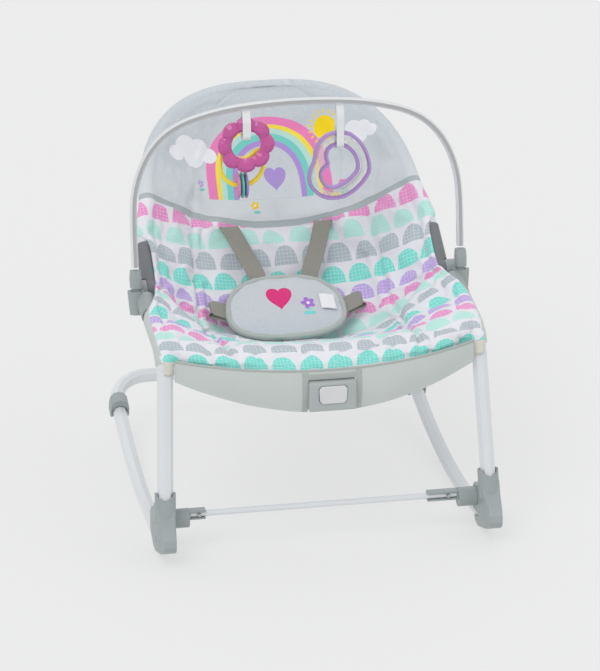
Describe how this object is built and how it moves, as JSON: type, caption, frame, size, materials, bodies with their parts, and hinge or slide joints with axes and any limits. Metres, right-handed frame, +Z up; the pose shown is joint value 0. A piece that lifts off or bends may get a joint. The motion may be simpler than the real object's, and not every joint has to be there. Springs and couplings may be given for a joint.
{
  "type": "bouncer seat",
  "caption": "Rocking infant seat with a padded sling, reclining back, harness, soothing unit and an arched toy bar with hanging toys.",
  "frame": {"origin": "under the middle of the seat, on the floor", "axes": "+Z up, +Y towards the head end, +X to the right seen from the foot end"},
  "size_m": [0.485, 0.5561, 0.5795],
  "materials": {
    "white_painted_steel": "white powder coat",
    "bar_paint": "light silver grey",
    "grey_moulded_plastic": "fine texture",
    "dark_grey_plastic": "fine texture",
    "bright_steel": "bright",
    "patterned_fabric": "printed woven cloth",
    "grey_fabric": "woven cloth",
    "skirt_fabric": "woven cloth",
    "webbing": "woven webbing",
    "white_webbing": "woven webbing",
    "milky_plastic": "milky",
    "circuit_board": "solder mask",
    "battery_wrap": "printed sleeve",
    "magenta_plastic": "glossy",
    "yellow_plastic": "glossy",
    "pink_plastic": "glossy",
    "teal_plastic": "glossy",
    "purple_plastic": "glossy",
    "mint_plastic": "glossy",
    "clear_plastic": "clear"
  },
  "bodies": {
    "frame": {"left_side_tube": "white_painted_steel", "right_side_tube": "white_painted_steel", "base_tube": "white_painted_steel", "left_foot": "grey_moulded_plastic", "right_foot": "grey_moulded_plastic", "left_foot_screw": "bright_steel", "right_foot_screw": "bright_steel", "left_cross_bracket": "grey_moulded_plastic", "right_cross_bracket": "grey_moulded_plastic", "left_cross_tube_screw": "bright_steel", "right_cross_tube_screw": "bright_steel", "front_cross_tube": "white_painted_steel", "left_hub": "grey_moulded_plastic", "right_hub": "grey_moulded_plastic", "left_pivot_bolt": "bright_steel", "right_pivot_bolt": "bright_steel", "seat_sling": "patterned_fabric", "front_skirt": "skirt_fabric", "crotch_pad": "grey_fabric", "harness_buckle": "dark_grey_plastic", "crotch_strap": "webbing", "left_waist_strap": "webbing", "right_waist_strap": "webbing", "unit_front_cover": "grey_moulded_plastic", "unit_back_box": "grey_moulded_plastic", "battery_cell": "battery_wrap", "vibration_motor": "bright_steel", "circuit_board": "circuit_board"},
    "backrest": {"backrest_tube": "white_painted_steel", "back_panel": "grey_fabric", "left_recline_arm": "dark_grey_plastic", "right_recline_arm": "dark_grey_plastic", "left_shoulder_strap": "webbing", "right_shoulder_strap": "webbing"},
    "left_kickstand": {"left_kickstand": "grey_moulded_plastic"},
    "right_kickstand": {"right_kickstand": "grey_moulded_plastic"},
    "left_recline_button": {"left_recline_button": "dark_grey_plastic"},
    "right_recline_button": {"right_recline_button": "dark_grey_plastic"},
    "power_button": {"power_button": "milky_plastic"},
    "battery_door": {"battery_door": "grey_moulded_plastic"},
    "motor_weight": {"motor_weight": "bright_steel"},
    "toy_bar": {"toy_bar": "bar_paint", "left_bar_plug": "grey_moulded_plastic", "right_bar_plug": "grey_moulded_plastic"},
    "flower_toy": {"flower_strap": "white_webbing", "flower_teether": "magenta_plastic", "link_ring": "yellow_plastic"},
    "pink_disc": {"pink_disc": "pink_plastic"},
    "teal_disc": {"teal_disc": "teal_plastic"},
    "purple_disc": {"purple_disc": "purple_plastic"},
    "heart_toy": {"heart_strap": "white_webbing", "heart_outer_rim": "purple_plastic", "heart_inner_rim": "purple_plastic", "heart_channel": "clear_plastic", "bead_1": "pink_plastic", "bead_2": "pink_plastic", "bead_3": "yellow_plastic", "bead_4": "yellow_plastic", "bead_5": "mint_plastic", "bead_6": "mint_plastic"}
  },
  "joints": [
    {"name": "recline", "type": "hinge", "parent": "frame", "child": "backrest", "pos_m": [0, -0.0065, 0.309], "axis": [1, 0, 0], "range_deg": [0, 14]},
    {"name": "left_kickstand_turn", "type": "hinge", "parent": "frame", "child": "left_kickstand", "pos_m": [-0.21972, 0.2045, 0.05162], "axis": [-0.0149, -0.9543, -0.2986], "range_deg": [0, 180]},
    {"name": "left_recline_press", "type": "slide", "parent": "frame", "child": "left_recline_button", "axis": [1, 0, 0], "range_m": [0, 0.0025], "stiffness_N_per_m": 300},
    {"name": "right_kickstand_turn", "type": "hinge", "parent": "frame", "child": "right_kickstand", "pos_m": [0.21972, 0.2045, 0.05162], "axis": [-0.0149, 0.9543, 0.2986], "range_deg": [0, 180]},
    {"name": "right_recline_press", "type": "slide", "parent": "frame", "child": "right_recline_button", "axis": [-1, 0, 0], "range_m": [0, 0.0025], "stiffness_N_per_m": 300},
    {"name": "power_press", "type": "slide", "parent": "frame", "child": "power_button", "axis": [0, 1, 0], "range_m": [0, 0.0012], "stiffness_N_per_m": 400},
    {"name": "battery_door_hinge", "type": "hinge", "parent": "frame", "child": "battery_door", "pos_m": [0, -0.23, 0.219], "axis": [-1, 0, 0], "range_deg": [0, 100]},
    {"name": "motor_spin", "type": "hinge", "parent": "frame", "child": "motor_weight", "pos_m": [0.0065, -0.2457, 0.2497], "axis": [1, 0, 0], "continuous": true},
    {"name": "toy_bar_lift", "type": "slide", "parent": "frame", "child": "toy_bar", "axis": [0, 0.1483, 0.9889], "range_m": [0, 0.06]},
    {"name": "flower_swing", "type": "hinge", "parent": "toy_bar", "child": "flower_toy", "pos_m": [-0.068, 0.0073, 0.564], "axis": [1, 0, 0], "range_deg": [-35, 35]},
    {"name": "heart_swing", "type": "hinge", "parent": "toy_bar", "child": "heart_toy", "pos_m": [0.064, 0.0076, 0.566], "axis": [1, 0, 0], "range_deg": [-35, 35]},
    {"name": "pink_disc_spin", "type": "hinge", "parent": "flower_toy", "child": "pink_disc", "pos_m": [-0.0775, 0.0181, 0.4469], "axis": [1, 0, 0], "continuous": true},
    {"name": "teal_disc_spin", "type": "hinge", "parent": "flower_toy", "child": "teal_disc", "pos_m": [-0.072, 0.0181, 0.4469], "axis": [1, 0, 0], "continuous": true},
    {"name": "purple_disc_spin", "type": "hinge", "parent": "flower_toy", "child": "purple_disc", "pos_m": [-0.0665, 0.0181, 0.4469], "axis": [1, 0, 0], "continuous": true}
  ]
}
